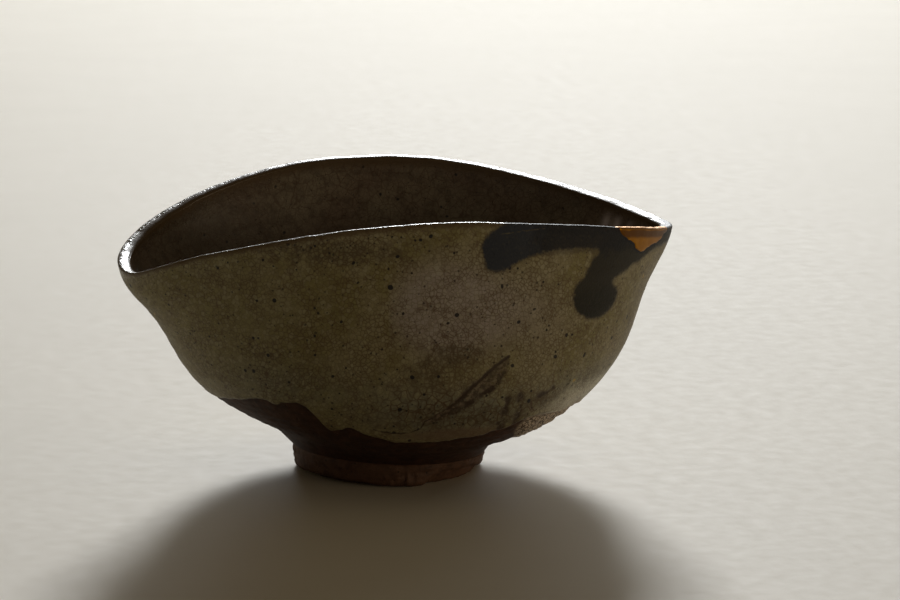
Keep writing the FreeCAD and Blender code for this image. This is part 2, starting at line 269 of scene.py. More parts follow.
def wall_at(w):
    """Thickness of the wall, from the thick bottom to the thin lip."""
    upper = blend(WALL_THICKNESS, LIP_THICKNESS, smooth((w - WALL_MIDDLE) / (1 - WALL_MIDDLE)))
    lower = blend(BOTTOM_THICKNESS, WALL_THICKNESS, smooth((w - WALL_FOOT) / (WALL_MIDDLE - WALL_FOOT)))
    return np.where(w > WALL_MIDDLE, upper, lower)


def outer_rows(t, w):
    return outside(t, w), outward(t, w)


def lip_frame(t):
    """Middle of the lip, half the way across it outwards, and the direction in which it rises."""
    side = outward(t, np.ones_like(t))
    level = unit(side * (1, 1, 0))
    outer = lip_edge(t)
    bevel = blend(LIP_BEVEL, LIP_BEVEL_BACK, smooth(np.sin(t) + 0.5))
    inner = outer - level * LIP_THICKNESS - xyz(0, 0, bevel)
    half = (outer - inner) / 2
    around = xyz(-level[..., 1], level[..., 0], 0)
    return (outer + inner) / 2, half, unit(np.cross(half, around))


def lip_rows(t, turn):
    """Over the lip, from its outer edge (0) to its inner edge (pi)."""
    middle, half, rise = lip_frame(t)
    flat = (smooth(2.5 * np.sin(t)) * smooth((np.cos(t) - 0.2) / 0.5))[..., None]
    crown = blend(LIP_CROWN, LIP_CROWN_FLAT, flat)
    power = 2 / blend(LIP_SQUARENESS, LIP_SQUARENESS_FLAT, flat)
    c, s = np.cos(turn)[..., None], np.sin(turn)[..., None]
    place = middle + half * np.sign(c) * np.abs(c) ** power + rise * (crown * s ** power)
    normal = unit(half) * np.sign(c) * np.abs(c) ** (2 - power) / (LIP_THICKNESS / 2)
    return place, unit(normal + rise * s ** (2 - power) / crown)


def inner_rows(t, w):
    normal = outward(t, w)
    place = outside(t, w) - normal * wall_at(w)[..., None]
    middle, half, _ = lip_frame(t)
    top = np.ones_like(t)
    settle = middle - half - (outside(t, top) - outward(t, top) * LIP_THICKNESS)
    return place + settle * smooth((w - SETTLE_START) / (1 - SETTLE_START))[..., None], -normal


def bottom_rows(t, q):
    """From the foot of the inner wall (0) over the edge of the pool to the middle (1)."""
    end = np.full_like(t, INSIDE_END)
    start, normal = inner_rows(t, end)
    slope = unit(inner_rows(t, end)[0] - inner_rows(t, end + 0.02)[0])
    c, s = np.cos(t), np.sin(t)
    brink = xyz(POOL_RADIUS * c, POOL_RADIUS * s, POOL_HEIGHT)
    handle = xyz((POOL_RADIUS + 6) * c, (POOL_RADIUS + 6) * s, POOL_HEIGHT + 0.1)
    u = np.clip(q / POOL_SHARE, 0, 1)[..., None]
    curve = ((1 - u) ** 3 * start + 3 * u * (1 - u) ** 2 * (start + slope * 4)
             + 3 * u * u * (1 - u) * handle + u ** 3 * brink)
    shrink = 1 - np.clip((q - POOL_SHARE) / (1 - POOL_SHARE), 0, 1)
    curve = curve * xyz(shrink, shrink, 1)
    return curve, unit(blend(normal, np.array((0.0, 0.0, 1.0)), smooth(u)))


OUTER_RINGS = 0.05            # half the height of the throwing rings, in millimetres
INNER_RINGS = 0.15
OUTER_PITCH, POOL_PITCH = 4.6, 4.2
LIP_START = 0.93              # from here up the wall follows the wavering lip


def worked(place, normal, t, ringing, lip_share):
    """Adds what the hands left: slow unevenness, throwing rings and a wavering lip."""
    slow = 0.14 * noise(place, 30, 11) + 0.05 * noise(place, 10, 12)
    turn = place[..., 2] / OUTER_PITCH + t / (2 * math.pi) + 0.35 * noise(place, 18, 13)
    rings = ringing * np.sin(2 * math.pi * turn) * (0.6 + 0.4 * noise(place, 30, 14))
    on_rim = lip_edge(t)
    waver = 0.16 * noise(on_rim, 11, 15) + 0.10 * noise(on_rim, 3.4, 16)
    place = place + normal * (slow + rings)[..., None]
    place[..., 2] += waver * lip_share
    return place


def thrown(rows, t, w, ringing, calm):
    """Worked rows of the outer or inner wall. The rings die out over the last share of the way up."""
    place, normal = rows(t, w)
    lip_share = smooth((w - LIP_START) / (1 - LIP_START))
    return worked(place, normal, t, ringing * smooth((1 - w) / calm), lip_share), normal


def thrown_lip(t, turn):
    place, normal = lip_rows(t, turn)
    return worked(place, normal, t, 0.0, np.ones_like(t)), normal


# ---- what lies where on the outside ----
ELSEWHERE = 999.0             # outside every outline


def front_view(place):
    """(x, z) on the front half, and far away on the back half."""
    return np.where((place[..., 1] < 0)[..., None], place[..., [0, 2]], ELSEWHERE)


def along_chip(place):
    """(along the lip, height) on the side of the bowl that has the chip."""
    c, s = math.cos(CHIP_FACING), math.sin(CHIP_FACING)
    x, y, z = np.moveaxis(place, -1, 0)
    return np.where((x * c + y * s > 25)[..., None], np.stack([y * c - x * s, z], -1), ELSEWHERE)


def soft_spots(place, spots):
    """Sum of (strength, centre, radii) spots that fall softly to 0 round their centres."""
    return sum(strength * np.exp(-(((place - np.array(centre)) / np.array(radii)) ** 2).sum(-1))
               for strength, centre, radii in spots)


def patch_mark(view, outline, reach=4):
    """Depth inside an outline, as a mark for the materials."""
    return np.clip(depth_inside(view, outline), -reach, reach)


def coat_thickness(place, w, line):
    """Thickness of the outer glaze, which ends in a rolled bead above the bare clay."""
    above = (w - line) * BODY_LENGTH
    film = GLAZE * (1 - np.exp(-np.maximum(above, 0) / 0.45))
    bead = 0.16 * np.exp(-((above - 1.3) / 0.9) ** 2) * (0.7 + 0.5 * noise(place, 5, 31))
    crawl = smooth((depth_inside(front_view(place), CRAWL_OUTLINE) + 1.5) / 2)
    beads = crawl * (0.2 * noise(place, 1.3, 32) + 0.15 * noise(place, 2.9, 33))
    scar = depth_inside(front_view(place), SCAR_OUTLINE) + 0.3 * noise(place, 1.4, 21)
    gouge = -0.22 * smooth((scar + 0.2) / 0.8) + 0.1 * np.exp(-((scar + 0.6) / 0.4) ** 2)
    return np.maximum(film + np.where(above > 0, bead, 0) + beads * smooth(above / 1.5) + gouge, 0)


# ---- meshes ----
SHARP_ANGLE = math.radians(55)


def grid_of(steps):
    """Angle and step arrays of the same shape, for a grid all round the bowl."""
    turn = 2 * math.pi * np.arange(SPOKES) / SPOKES - math.pi
    t = turn - FRONT_CROWDING * np.sin(turn) - math.pi / 2
    return np.broadcast_arrays(t[:, None], np.asarray(steps, float))


def grid_normals(grid, wraps=True):
    """Normals of a grid from its neighbours; straight up at a pole."""
    around = np.roll(grid, -1, 0) - np.roll(grid, 1, 0) if wraps else np.gradient(grid, axis=0)
    normals = unit(np.cross(around, np.gradient(grid, axis=1)))
    flat = np.linalg.norm(normals, axis=-1) < 0.5
    normals[flat] = (0, 0, 1)
    return normals


def make_object(name, vertices, faces, attributes, corner_normals=None):
    """Mesh in the frame's metres, with marks for its material to read."""
    mesh = bpy.data.meshes.new(name)
    mesh.from_pydata(((vertices + AXIS) * MM).tolist(), [], faces)
    mesh.polygons.foreach_set("use_smooth", [True] * len(faces))
    for key, values in attributes.items():
        layer = mesh.attributes.new(key, "FLOAT", "POINT")
        layer.data.foreach_set("value", np.ascontiguousarray(values, np.float32))
    if corner_normals is None:
        mesh.set_sharp_from_angle(angle=SHARP_ANGLE)
    else:
        mesh.normals_split_custom_set(corner_normals.tolist())
    mesh.update()
    piece = bpy.data.objects.new(name, mesh)
    bpy.context.scene.collection.objects.link(piece)
    return piece


def ring_body(name, rows, attributes, closed_rows=False):
    """Closed mesh through a grid that closes round the bowl, from pole to pole or round a ring."""
    spokes, count = rows.shape[:2]
    index = np.arange(spokes * count).reshape(spokes, count)
    if not closed_rows:
        index[:, 0] = index[0, 0]
        index[:, -1] = index[0, -1]
    turned = np.roll(index, -1, 0)
    last = count if closed_rows else count - 1
    ahead, turned_ahead = np.roll(index, -1, 1), np.roll(turned, -1, 1)
    quads = np.stack([index, turned, turned_ahead, ahead], -1)[:, :last].reshape(-1, 4)
    used, quads = np.unique(quads, return_inverse=True)
    faces = [tuple(dict.fromkeys(face)) for face in quads.reshape(-1, 4).tolist()]
    marks = {key: value.reshape(-1)[used] for key, value in attributes.items()}
    return make_object(name, rows.reshape(-1, 3)[used], faces, marks)


def slab(name, top, under, normals, keep, attributes, pole=False):
    """Closed skin between two grids, over the cells that are kept."""
    spokes, count = top.shape[:2]
    index = np.arange(spokes * count).reshape(spokes, count)
    if pole:
        index[:, -1] = index[0, -1]
    turned = np.roll(index, -1, 0)
    cells = np.stack([index[:, :-1], turned[:, :-1], turned[:, 1:], index[:, 1:]], -1)
    shift = spokes * count
    beyond = np.pad(keep, ((0, 0), (1, 1)))
    if pole:
        beyond[:, -1] = True
    edges = ((keep & ~beyond[:, :-2], 0, 1), (keep & ~np.roll(keep, -1, 0), 1, 2),
             (keep & ~beyond[:, 2:], 2, 3), (keep & ~np.roll(keep, 1, 0), 3, 0))
    walls = []
    for mask, p, q in edges:
        edge = cells[mask]
        walls.append(np.stack([edge[:, q], edge[:, p], edge[:, p] + shift, edge[:, q] + shift], -1))
    skin, walls = cells[keep], np.concatenate(walls)
    points = np.concatenate([top.reshape(-1, 3), under.reshape(-1, 3)])
    facing = np.concatenate([normals.reshape(-1, 3), -normals.reshape(-1, 3)])
    first, second, third = (points[walls[:, k]] for k in range(3))
    wall_facing = unit(np.cross(second - first, third - first))
    quads = np.concatenate([skin, skin[:, ::-1] + shift, walls])
    corners = np.concatenate([facing[quads[:2 * len(skin)]], np.repeat(wall_facing[:, None], 4, 1)])
    used, quads = np.unique(quads, return_inverse=True)
    faces, kept_corners = [], []
    for face, corner in zip(quads.reshape(-1, 4).tolist(), corners):
        distinct = [k for k in range(4) if face[k] not in face[:k]]
        faces.append(tuple(face[k] for k in distinct))
        kept_corners.extend(corner[k] for k in distinct)
    marks = {key: np.concatenate([value.reshape(-1)] * 2)[used] for key, value in attributes.items()}
    return make_object(name, points[used], faces, marks, np.array(kept_corners))


def cell_values(values):
    """Mean of a grid's corner values on each of its cells."""
    turned = np.roll(values, -1, 0)
    return (values[:, :-1] + values[:, 1:] + turned[:, :-1] + turned[:, 1:]) / 4


# ---- the glaze ----
OUTER_ROWS, LIP_ROWS, INNER_ROWS, BOTTOM_ROWS = 82, 9, 50, 26
FAR = 60                      # beyond the reach of every mark, in millimetres
CHIP_CUT = 1.2                # the glaze reaches this far in under the edge of the gold
STROKE_BLEED = 1.0            # the iron stains the glaze this far round the painted outline

# Places where a finish shows, some of them painted shade, as (strength, centre, radii) in millimetres.
SOFT_SPOTS = {
    "olive": ((1, (-52, -34, 42), (24, 40, 24)), (0.8, (-12, -46, 23), (30, 30, 8))),
    "mauve": ((0.45, (24, -46, 50), (20, 30, 12)),),
    "celadon": ((1, (44, -36, 27), (16, 30, 6)), (1, (6, -47, 23), (13, 30, 6)),
                (0.9, (12, -47, 25), (12, 30, 6)), (0.7, (-9, -49, 28), (14, 30, 8)),
                (0.6, (-36, -40, 32), (14, 30, 6))),
    "umber": ((1.1, (4.5, -50, 24.3), (5.5, 20, 1.9)), (1, (-22, -52, 68), (26, 30, 4)),
              (1.2, (6.5, -53, 41), (8, 20, 3.2)), (0.9, (-1, -53, 36), (7, 20, 3.5)),
              (0.8, (12, -50, 23.5), (12, 20, 3.2)), (0.9, (32, -44, 26.5), (5, 20, 2.4)),
              # The broad spot at (2, -48, 25) darkens the lower front: partly brown stain, partly painted
              # shade.
              (0.9, (24.5, -47, 24), (3.2, 20, 6)), (0.75, (2, -48, 25), (26, 30, 9)),
              (0.3, (46, -38, 42), (14, 24, 14)), (0.6, (30, -46, 68), (20, 20, 2)),
              (0.6, (60, 25, 30), (30, 30, 14))),
    "wide": ((1, (12, -47, 24), (15, 30, 7)), (0.8, (-6, -50, 28), (14, 20, 8)),
             (0.8, (27, -46, 25), (8, 20, 5))),
    "thin": ((1, (7, -46, 18.6), (18, 30, 2.4)),),
    # Painted shade on the inner wall behind the left tip, which lies in shade.
    "painted_shade_inside": ((1, (-44, 33, 60), (20, 18, 14)),),
}
# The mauve panel above the scar, which has a clean edge on its left.
MAUVE_PANEL = ((1, (3, -54, 53), (14, 30, 12)),)
MAUVE_EDGE, MAUVE_EDGE_WIDTH = -11.5, 1.6
# Painted reflection, pale runs on the inner glaze beside the right tip: (degrees round the bowl, width,
# strength).
PAINTED_REFLECTION_RUNS = ((29.0, 1.3, 0.9), (25.2, 1.5, 1.0), (20.0, 1.4, 0.7), (14.0, 1.8, 0.5))


def glazed_skin():
    """One grid over all the glaze, from its lower edge over the lip to the middle of the inside."""
    t, q = grid_of(np.linspace(0, 1, OUTER_ROWS))
    line = periodic(GLAZE_LINE, np.degrees(t)) + 0.008 * rough(outside(t, q * 0 + 0.3), 3.6, 34, 3)
    w = blend(line, 1, q)
    outer, outer_facing = thrown(outer_rows, t, w, OUTER_RINGS, 0.1)
    lip_t, turn = grid_of(np.linspace(0, math.pi, LIP_ROWS + 2)[1:-1])
    lip, lip_facing = thrown_lip(lip_t, turn)
    in_t, in_w = grid_of(np.linspace(1, INSIDE_END, INNER_ROWS))
    inner, inner_facing = thrown(inner_rows, in_t, in_w, INNER_RINGS, 0.12)
    low_t, low_q = grid_of(np.linspace(0, 1, BOTTOM_ROWS + 1)[1:])
    low, low_facing = bottom_rows(low_t, low_q)
    radius = np.hypot(low[..., 0], low[..., 1])
    spiral = INNER_RINGS * np.sin(2 * math.pi * (radius / POOL_PITCH + low_t / (2 * math.pi)))
    spiral = spiral * smooth(radius / 6) * smooth((1 - low_q) / 0.3)
    low = worked(low, low_facing, low_t, 0.0, 0 * low_t) + low_facing * spiral[..., None]
    low[..., 2] += POOL_DEPTH * (smooth((radius - POOL_RADIUS) / 1.6) - 1)
    low[:, -1] = low[:, -1].mean(0)

    base = np.concatenate([outer, lip, inner, low], 1)
    facing = np.concatenate([outer_facing, lip_facing, inner_facing, low_facing], 1)
    facing[:, -1] = (0, 0, 1)
    film = np.full(base.shape[:2], GLAZE)
    film[:, :OUTER_ROWS] = coat_thickness(outside(t, w), w, line)
    under = base - facing * GLAZE
    top = under + facing * film[..., None]

    def joined(*parts):
        """One value for each point of the grid, from arrays or single numbers for its four parts."""
        return np.concatenate([np.broadcast_to(part, like.shape[:2])
                               for part, like in zip(parts, (outer, lip, inner, low))], 1)

    from_lip = joined((1 - w) * BODY_LENGTH, 0, (1 - in_w) * BODY_LENGTH, FAR + 15)
    place_round = np.degrees(joined(t, lip_t, in_t, low_t))
    # Painted reflection: pale runs beside the right tip stand in for a window glinting on the glossy inner
    # glaze.
    reflection_runs = sum(strength * np.exp(-((place_round - at) / width) ** 2) for at, width, strength in PAINTED_REFLECTION_RUNS)
    front, seen = front_view(base), base[..., [0, 2]]
    past_tip = np.maximum(base[..., 1], 0)
    painted = np.maximum(depth_inside(seen, LONG_STROKE), depth_inside(seen, HOOK_STROKE)) - past_tip
    # Depths inside outlines and distances along the wall are in millimetres, the others are shares.
    marks = {name: soft_spots(base, spots) for name, spots in SOFT_SPOTS.items()}
    panel_edge = smooth((base[..., 0] - MAUVE_EDGE) / MAUVE_EDGE_WIDTH)
    marks["mauve"] += soft_spots(base, MAUVE_PANEL) * panel_edge
    marks["celadon"] = np.minimum(marks["celadon"], 1)
    marks["iron"] = np.clip(painted, -4, 4)
    marks["chip"] = patch_mark(along_chip(base), CHIP_OUTLINE, 6)
    marks["scar"] = patch_mark(front, SCAR_OUTLINE)
    marks["crawl"] = patch_mark(front, CRAWL_OUTLINE)
    marks["edge"] = joined((w - line) * BODY_LENGTH, FAR, FAR, FAR)
    marks["lip"] = from_lip
    marks["pool"] = joined(0, 0, 0, smooth((24 - radius) / 8))
    # Where the painted reflection shows: below the lip and above 52 mm.
    marks["painted_reflection"] = reflection_runs * smooth((base[..., 2] - 52) / 9) * smooth((from_lip - 2.2) / 1.4)
    return top, under, grid_normals(top), marks


def glaze_pieces():
    """The outer coat, the two painted strokes in it, and the inner coat."""
    top, under, normals, marks = glazed_skin()
    iron, chip = cell_values(marks["iron"]), cell_values(marks["chip"])
    middles = front_view((top[:, :-1] + top[:, 1:]) / 2)
    crest = OUTER_ROWS + LIP_ROWS // 2
    outside_cells = np.arange(top.shape[1] - 1)[None, :] < crest
    glazed = chip < CHIP_CUT
    painted = outside_cells & glazed & (iron > -STROKE_BLEED)
    hooked = painted & (depth_inside(middles, HOOK_STROKE) > depth_inside(middles, LONG_STROKE))
    coat = slab("outer_glaze_coat", top, under, normals, outside_cells & glazed & ~painted, marks)
    long_stroke = slab("iron_brush_stroke_long", top, under, normals, painted & ~hooked, marks)
    hook_stroke = slab("iron_brush_stroke_hook", top, under, normals, hooked, marks)
    inner = slab("inner_glaze_coat", top, under, normals, ~outside_cells & glazed, marks, pole=True)
    return coat, long_stroke, hook_stroke, inner


# ---- the clay ----
CLAY_GAP = 0.05               # the clay stays this far under the glaze
BAND_END = 1.02               # the bare band reaches this far past the glaze's edge, under the glaze
NOT_CRAWLED = -4.0


def bare_clay(place, normal, t, amount):
    """Trimmed, unglazed clay: tool grooves, grit and small pits."""
    turn = place[..., 2] / 1.9 + t / (2 * math.pi) + 0.3 * noise(place, 7, 41)
    grooves = 0.06 * np.sin(2 * math.pi * turn)
    grit = 0.10 * rough(place, 1.7, 42, 2) + 0.16 * np.maximum(noise(place, 3.1, 43) - 0.35, 0)
    return place + normal * (amount * (grooves + grit))[..., None]


def clay_body():
    """The wall under the glaze, its bare lower band and the ceiling of the foot's hollow."""
    t, q = grid_of(np.linspace(0, 1, 42))
    line = periodic(GLAZE_LINE, np.degrees(t))
    w = line * BAND_END * q
    place, normal = outer_rows(t, w)
    place = worked(place, normal, t, OUTER_RINGS * smooth(w / 0.08), 0 * t)
    sunk = (GLAZE + CLAY_GAP * smooth((w - line + 0.02) / 0.03)) * smooth(w / 0.06)
    place = place - normal * sunk[..., None]
    crawl = patch_mark(front_view(place), CRAWL_OUTLINE)
    beads = smooth((crawl + 1) / 2) * smooth((line - w) / 0.03)
    beads = beads * (0.2 + 0.28 * noise(place, 1.3, 46) + 0.2 * noise(place, 2.6, 47))
    place = place + normal * beads[..., None]
    band = bare_clay(place, normal, t, smooth(w / 0.03) * smooth((line - w) / 0.02))
    up_t, rise = grid_of(np.linspace(0, 1, 22)[1:])
    up_w = blend(periodic(GLAZE_LINE, np.degrees(up_t)) * BAND_END, 1, rise)
    hidden, normal = thrown(outer_rows, up_t, up_w, OUTER_RINGS, 0.1)
    hidden = hidden - normal * (GLAZE + CLAY_GAP)
    lip, normal = thrown_lip(*grid_of(np.radians((30, 60, 90, 120, 150))))
    lip = lip - normal * (GLAZE + CLAY_GAP)
    inner, normal = thrown(inner_rows, *grid_of(np.linspace(1, INSIDE_END, 16)), INNER_RINGS, 0.12)
    inner = inner - normal * (GLAZE + 0.25)
    low, up = bottom_rows(*grid_of((0.2, 0.4, 0.6, 0.8, 1)))
    low = low - up * (GLAZE + 1.2)
    low[:, -1] = low[:, -1].mean(0)
    hollow = underside()
    rows = np.concatenate([hollow, band, hidden, lip, inner, low], 1)
    marks = np.full(rows.shape[:2], NOT_CRAWLED)
    marks[:, hollow.shape[1]:hollow.shape[1] + band.shape[1]] = crawl
    return ring_body("stoneware_body", rows, {"crawl": marks})


def foot_top(x):
    """Height of the tilted plane where the body sits on the foot ring."""
    return NECK_HEIGHT - NECK_TILT * x / NECK_RADIUS + 0.02


def ring(radius, t):
    return xyz(radius * np.cos(t), radius * np.sin(t), 0)


def underside():
    """From the middle of the hollow's ceiling out to the neck of the foot."""
    t, radius = grid_of(np.concatenate([np.linspace(0, 1, 34), [1.02]]) * (RECESS_RADIUS - 0.2))
    flare = smooth((radius - RECESS_RADIUS + 2.2) / 2.2)
    cone = 1.1 * np.exp(-(radius / 2.6) ** 2)
    spiral = 0.12 * np.sin(2 * math.pi * (radius / 2.6 + t / (2 * math.pi)))
    height = RECESS_CEILING + 0.4 - cone - flare * 0.9 + spiral * smooth(radius / 3)
    place = ring(radius, t) + xyz(0, 0, height) + RECESS_SHIFT
    place[..., 2] += 0.14 * rough(place, 2.4, 44, 3) * smooth(radius / 2)
    place[:, 0] = place[:, 0].mean(0)
    rim_t, share = grid_of((0.0, 0.5, 0.9))
    inner = ring(RECESS_RADIUS - 0.2, rim_t) + RECESS_SHIFT
    plane = blend(inner, ring(NECK_RADIUS, rim_t), share[..., None])
    plane[..., 2] = foot_top(plane[..., 0])
    return np.concatenate([place, plane], 1)


# Height of the foot's lower edge above the table, in millimetres, by degrees round the bowl.
FOOT_LIFT = ((-180, 0.7), (-160, 1.3), (-135, 1.4), (-118, 1.1), (-108, 0.3), (-90, 0.0), (-81, 0.1),
             (-75, 1.6), (-67, 2.6), (-52, 3.0), (-40, 2.8), (-28, 1.9), (-5, 0.3), (30, 0.9), (60, 0.1),
             (95, 0.6), (130, 0.0), (160, 0.4), (180, 0.5))
LUMP_PLACE, LUMP_WIDTH = -94, 13      # a lump of clay on the foot, in degrees round the bowl


def foot_piece():
    """The carved foot ring, with a ragged lower edge and a lump of clay at the front."""
    t, q = grid_of(np.linspace(0, 1, 26))
    lump = np.exp(-((np.degrees(t) - LUMP_PLACE) / LUMP_WIDTH) ** 2)
    lift = np.maximum(periodic(FOOT_LIFT, np.degrees(t)) + 0.25 * noise(ring(25, t), 2.5, 51), 0)
    wall = ring(blend(NECK_RADIUS, FOOT_RADIUS, smooth(q)), t)
    wall[..., 2] = blend(NECK_HEIGHT - NECK_TILT * np.cos(t) + 0.02, lift + FOOT_EDGE, q)
    outward_normal = ring(1.0, t)
    wall = bare_clay(wall, outward_normal, t, smooth(q / 0.12))
    bulge = 0.7 * lump * smooth((q - 0.35) / 0.5) - 0.35 * np.exp(-((q - 0.12) / 0.16) ** 2)
    bumps = lump * smooth((q - 0.3) / 0.4) * (0.3 * noise(wall, 1.5, 56) + 0.2 * noise(wall, 0.9, 57))
    wall += outward_normal * (bulge + bumps + 0.22 * noise(wall, 5.5, 52) * smooth(q / 0.2))[..., None]
    round_t, bend = grid_of(np.radians((15, 30, 45, 60, 75, 90)))
    lift = lift[:, :1]
    rounding = wall[:, -1:] - ring(1.0, round_t) * (FOOT_EDGE * (1 - np.cos(bend)))[..., None]
    rounding[..., 2] = lift + FOOT_EDGE - FOOT_EDGE * np.sin(bend) + 0.1 * noise(rounding, 1.6, 53)
    flat_t, share = grid_of(np.linspace(0, 1, 14)[1:-1])
    inner_edge = ring(RECESS_RADIUS + 1.2, flat_t[:, :1]) + RECESS_SHIFT
    flat = blend(rounding[:, -1:], inner_edge, share[..., None])
    grain = 0.16 * (1 + rough(flat, 2.2, 54, 3)) * smooth(share / 0.2)
    flat[..., 2] = lift * smooth(1 - share * 2.2) + grain
    hole_t, rise = grid_of(np.linspace(0, 1, 13))
    hole = ring(RECESS_RADIUS + 1.1 * (1 - smooth(rise / 0.25)), hole_t) + RECESS_SHIFT
    hole[..., 2] = blend(0.5, foot_top(hole[..., 0]), rise)
    hole += ring(1.0, hole_t) * (0.15 * noise(hole, 2.5, 55) * smooth((1 - rise) / 0.1))[..., None]
    _, out = grid_of((0.3, 0.7))
    join = blend(hole[:, -1:], wall[:, :1], out[..., None])
    join[..., 2] = foot_top(join[..., 0])
    rows = np.concatenate([wall, rounding, flat, hole, join], 1)[:, ::-1]
    rows[..., 2] = np.maximum(rows[..., 2], 0.0)
    marks = {"crawl": np.full(rows.shape[:2], NOT_CRAWLED), "foot": np.ones(rows.shape[:2])}
    return ring_body("foot_ring_carved", rows, marks, closed_rows=True)


# ---- the mend ----
CHIP_FROM, CHIP_TO = math.radians(-56), math.radians(-10)


def chip_grid(depth_at, spokes=150):
    """Points over the lip round the chip, at a depth under the glazed surface."""
    t = np.linspace(CHIP_FROM, CHIP_TO, spokes)[:, None]
    outer_t, outer_w = np.broadcast_arrays(t, np.linspace(LIP_START, 1, 26))
    lip_t, turn = np.broadcast_arrays(t, np.radians(np.linspace(15, 165, 11)))
    in_t, in_w = np.broadcast_arrays(t, np.linspace(1, LIP_START, 24))
    rows = (thrown(outer_rows, outer_t, outer_w, OUTER_RINGS, 0.11), thrown_lip(lip_t, turn),
            thrown(inner_rows, in_t, in_w, INNER_RINGS, 0.11))
    place, normal = (np.concatenate(parts, 1) for parts in zip(*rows))
    from_lip = np.concatenate([1 - outer_w, 0 * turn, 1 - in_w], 1) * BODY_LENGTH
    inside = depth_inside(along_chip(place), CHIP_OUTLINE)
    return place + normal * depth_at(inside, place)[..., None], {"chip": inside, "lip": from_lip}


def patch_slab(name, top, under, keep, attributes):
    """Closed skin over the kept cells of a grid that doesn't close round the bowl."""
    keep = keep.copy()
    keep[-1] = False
    return slab(name, top, under, grid_normals(top, wraps=False), keep, attributes)


def gold_patch():
    """Gold-dusted lacquer over the mended chip: a low cushion that dips under the glaze at its edge."""
    def cushion(inside, place):
        ragged = inside + 0.28 * noise(place, 1.3, 61)
        return blend(-0.35, 0.16, smooth((ragged + 0.5) / 1.0)) + 0.03 * noise(place, 2.4, 62)

    top, marks = chip_grid(cushion)
    under, _ = chip_grid(lambda depth, place: np.full_like(depth, -0.6))
    return patch_slab("gold_lacquer_mend", top, under, cell_values(marks["chip"]) > -0.7, marks)


def putty():
    """The putty under the gold, between the outer and the inner skin of the lip."""
    top, marks = chip_grid(lambda depth, place: np.full_like(depth, -0.65), spokes=60)
    under, _ = chip_grid(lambda depth, place: np.full_like(depth, -1.1), spokes=60)
    return patch_slab("lacquer_putty_fill", top, under, cell_values(marks["chip"]) > 0.2, {})


